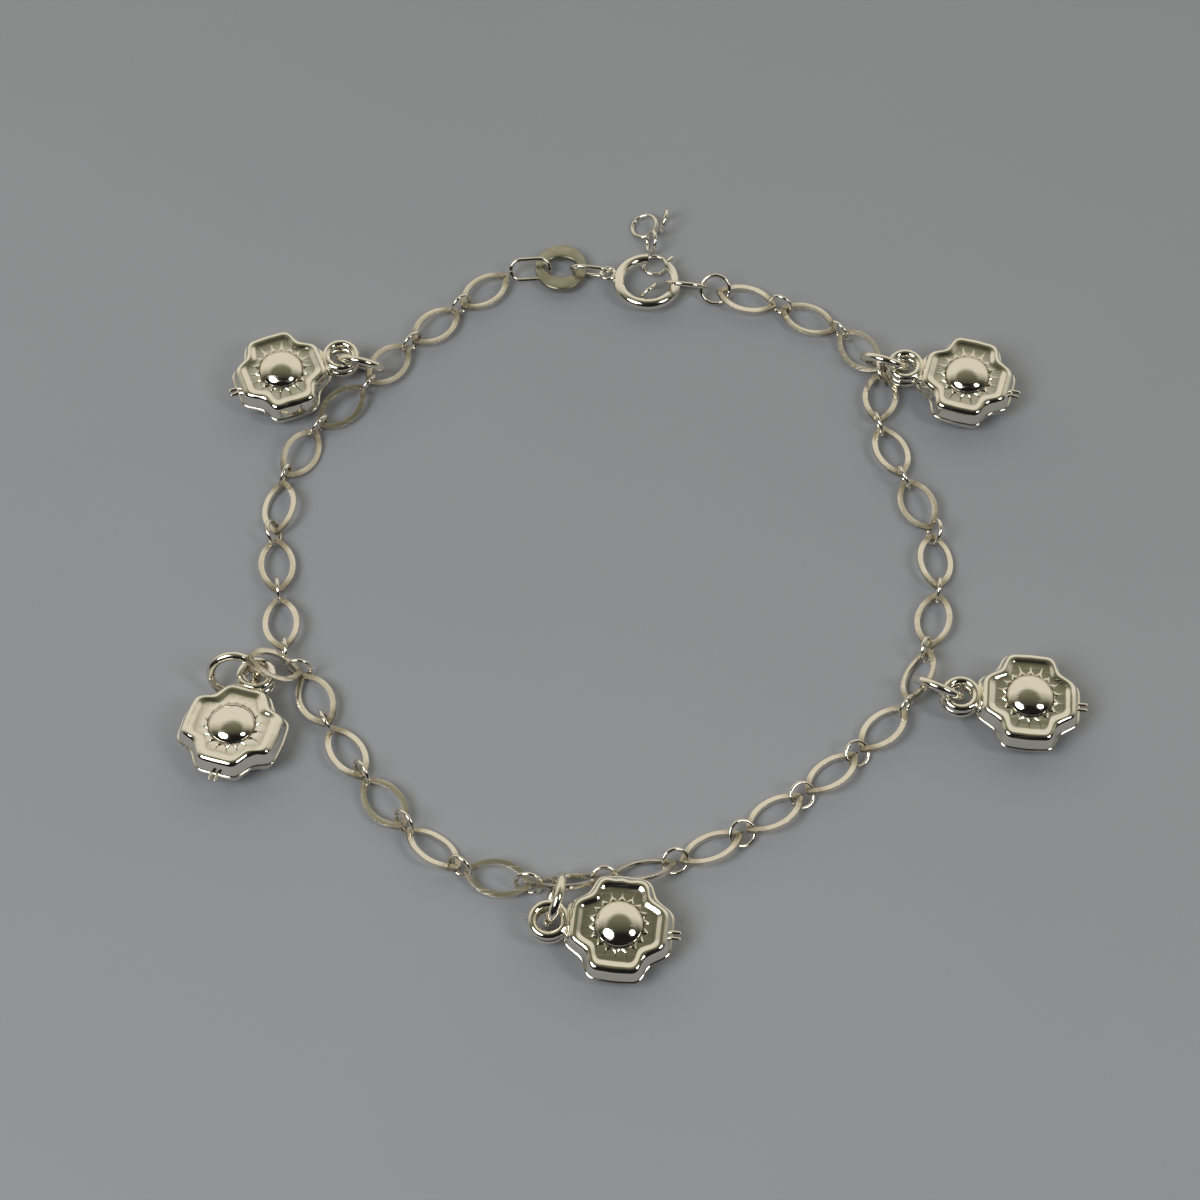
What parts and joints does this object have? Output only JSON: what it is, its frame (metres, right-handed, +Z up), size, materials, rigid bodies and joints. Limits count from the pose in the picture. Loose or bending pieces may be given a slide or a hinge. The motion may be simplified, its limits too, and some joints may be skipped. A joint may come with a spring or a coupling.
{
  "type": "charm bracelet",
  "caption": "Bracelet of flat pointed-oval chain links with puffed flower charms on rings, a bare oval tag and a spring bolt-ring clasp, laid in an open loop.",
  "frame": {"origin": "on the table, under the middle of the whole bracelet's box", "axes": "+Z up from the table, +Y from the wearer's side of the loop to the clasp, +X to the right"},
  "size_m": [0.0732, 0.077, 0.0045],
  "materials": {
    "link_silver": "satin, finely scratched",
    "charm_silver": "polished, with fine scratches and small dents",
    "ring_silver": "polished",
    "clasp_silver": "polished",
    "tag_silver": "dull, a little tarnished"
  },
  "bodies": {
    "bracelet": {"link_01": "link_silver", "link_02": "link_silver", "link_03": "link_silver", "link_04": "link_silver", "link_05": "link_silver", "link_06": "link_silver", "link_07": "link_silver", "link_08": "link_silver", "link_09": "link_silver", "link_10": "link_silver", "link_11": "link_silver", "link_12": "link_silver", "link_13": "link_silver", "link_14": "link_silver", "link_15": "link_silver", "link_16": "link_silver", "link_17": "link_silver", "link_18": "link_silver", "link_19": "link_silver", "link_20": "link_silver", "link_21": "link_silver", "link_22": "link_silver", "link_23": "link_silver", "link_24": "link_silver", "link_25": "link_silver", "link_26": "link_silver", "link_27": "link_silver", "link_28": "link_silver", "link_29": "link_silver", "flower_charm_1": "charm_silver", "charm_ring_1": "ring_silver", "flower_charm_2": "charm_silver", "charm_ring_2": "ring_silver", "flower_charm_3": "charm_silver", "charm_ring_3": "ring_silver", "flower_charm_4": "charm_silver", "charm_ring_4": "ring_silver", "flower_charm_5": "charm_silver", "charm_ring_5": "ring_silver", "clasp_case": "clasp_silver", "tag_link": "tag_silver", "oval_ring": "ring_silver", "tag_ring": "ring_silver", "hook_ring": "ring_silver", "end_ring": "ring_silver", "inner_ring": "ring_silver", "back_ring_1": "ring_silver", "back_ring_2": "ring_silver", "back_ring_3": "ring_silver", "back_ring_4": "ring_silver"},
    "clasp_bolt": {"clasp_bolt": "clasp_silver"}
  },
  "joints": [
    {"name": "bolt_slide", "type": "hinge", "parent": "bracelet", "child": "clasp_bolt", "pos_m": [0.00157, 0.03017, 0.00115], "axis": [0, 0, 1], "range_deg": [0, 50], "stiffness_Nm_per_rad": 0.00002, "springref_deg": -17.19}
  ]
}
